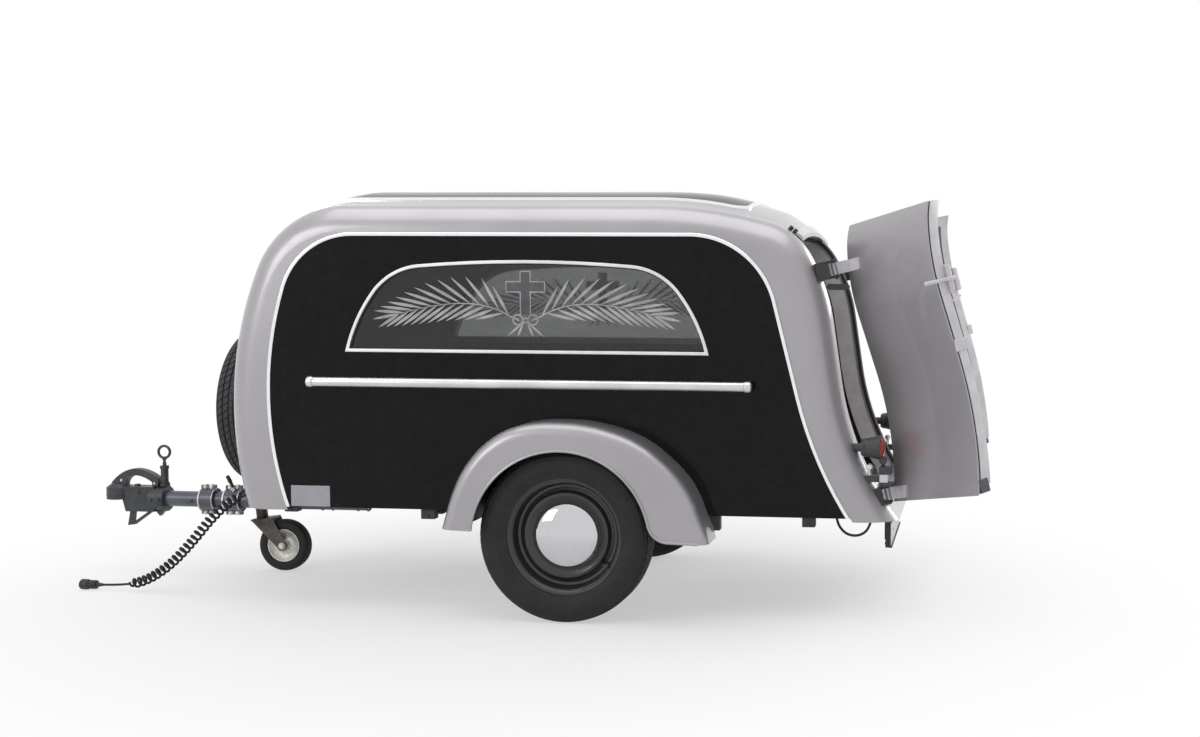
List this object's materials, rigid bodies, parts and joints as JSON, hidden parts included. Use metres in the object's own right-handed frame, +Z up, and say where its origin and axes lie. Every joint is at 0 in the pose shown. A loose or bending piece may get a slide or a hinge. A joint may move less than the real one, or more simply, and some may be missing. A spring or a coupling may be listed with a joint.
{
  "type": "hearse trailer",
  "caption": "Small towed hearse: rounded coach body, black side panels with arched etched windows, leaning rear doors, spare wheel, drawbar, ball coupling and jockey wheel.",
  "frame": {"origin": "middle of the trailer's length and width, at floor level, worked out without the loose lead", "axes": "+X to the rear doors, +Y to the trailer's right-hand side as it travels, +Z up from the floor"},
  "size_m": [3.391, 1.4592, 1.4628],
  "materials": {
    "shell_silver": "gloss metallic lacquer",
    "panel_black": "gloss lacquer",
    "roof_black": "gloss lacquer",
    "trim_bright": "bright strip",
    "frame_light": "satin",
    "glass_dark": "tinted, etched",
    "rail_satin": "satin",
    "guard_silver": "gloss metallic lacquer",
    "tyre_rubber": "matt",
    "rim_black": "satin black",
    "hubcap_chrome": "polished",
    "drum_iron": "dull",
    "axle_black": "satin black",
    "spring_steel": "satin black",
    "chassis_grey": "satin",
    "drawbar_grey": "satin blue-grey",
    "floor_ply": "coated plywood",
    "deck_wood": "varnished",
    "slide_steel": "brushed",
    "jamb_silver": "satin",
    "door_silver": "gloss metallic lacquer",
    "hinge_metal": "satin",
    "bracket_dark": "satin black",
    "coupling_grey": "painted anthracite",
    "handle_grey": "painted anthracite",
    "ring_steel": "dull",
    "zinc_stem": "galvanised",
    "zinc_clamp": "galvanised",
    "lamp_dark": "satin anthracite",
    "lens_red": "clear red",
    "board_black": "matt",
    "cord_black": "matt",
    "plug_black": "satin"
  },
  "bodies": {
    "trailer_body": {"front_shell": "shell_silver", "roof_shell": "shell_silver", "rear_shell": "shell_silver", "roof_panel": "roof_black", "roof_trim": "trim_bright", "side_panel_left": "panel_black", "side_panel_right": "panel_black", "side_trim": "trim_bright", "window_frames": "frame_light", "window_glass": "glass_dark", "handrails": "rail_satin", "mudguard_left": "guard_silver", "mudguard_right": "guard_silver", "axle_beam": "axle_black", "leaf_springs": "spring_steel", "chassis_frame": "chassis_grey", "drawbar": "drawbar_grey", "floor_panel": "floor_ply", "load_deck": "deck_wood", "deck_slides": "slide_steel", "door_frame": "jamb_silver", "hinge_brackets": "bracket_dark", "coupling_body": "coupling_grey", "coupling_handle": "handle_grey", "pull_ring": "ring_steel", "jockey_stem": "zinc_stem", "jockey_clamp": "zinc_clamp", "spare_tyre": "tyre_rubber", "spare_rim": "rim_black", "spare_carrier": "axle_black", "spare_nut": "zinc_clamp", "tail_lamps": "lamp_dark", "lamp_lenses": "lens_red", "plate_board": "board_black", "lead_coil": "cord_black", "lead_gland": "plug_black", "lead_plug": "plug_black", "lamp_cable": "cord_black"},
    "wheel_left": {"tyre_left": "tyre_rubber", "rim_left": "rim_black", "hubcap_left": "hubcap_chrome", "hub_drum_left": "drum_iron"},
    "wheel_right": {"tyre_right": "tyre_rubber", "rim_right": "rim_black", "hubcap_right": "hubcap_chrome", "hub_drum_right": "drum_iron"},
    "jockey_fork_body": {"jockey_fork": "zinc_clamp"},
    "jockey_wheel": {"jockey_tyre": "tyre_rubber", "jockey_rim": "zinc_clamp"},
    "door_left": {"door_leaf_left": "door_silver", "door_hinges_left": "hinge_metal"},
    "door_right": {"door_leaf_right": "door_silver", "door_hinges_right": "hinge_metal"}
  },
  "joints": [
    {"name": "wheel_left_spin", "type": "hinge", "parent": "trailer_body", "child": "wheel_left", "pos_m": [0.2935, -0.576, 0.288], "axis": [0, 1, 0], "continuous": true},
    {"name": "wheel_right_spin", "type": "hinge", "parent": "trailer_body", "child": "wheel_right", "pos_m": [0.2935, 0.576, 0.288], "axis": [0, 1, 0], "continuous": true},
    {"name": "jockey_swivel", "type": "hinge", "parent": "trailer_body", "child": "jockey_fork_body", "pos_m": [-1.1405, 0.1, 0.355], "axis": [-0.1219, 0, 0.9925], "continuous": true},
    {"name": "jockey_spin", "type": "hinge", "parent": "jockey_fork_body", "child": "jockey_wheel", "pos_m": [-1.02859, 0.1, 0.1], "axis": [0, 1, 0], "continuous": true},
    {"name": "door_left_hinge", "type": "hinge", "parent": "trailer_body", "child": "door_left", "pos_m": [1.2635, -0.43, 0.8], "axis": [-0.2385, 0, 0.9711], "range_deg": [0, 136]},
    {"name": "door_right_hinge", "type": "hinge", "parent": "trailer_body", "child": "door_right", "pos_m": [1.2635, 0.43, 0.8], "axis": [0.2385, 0, -0.9711], "range_deg": [0, 136]}
  ]
}
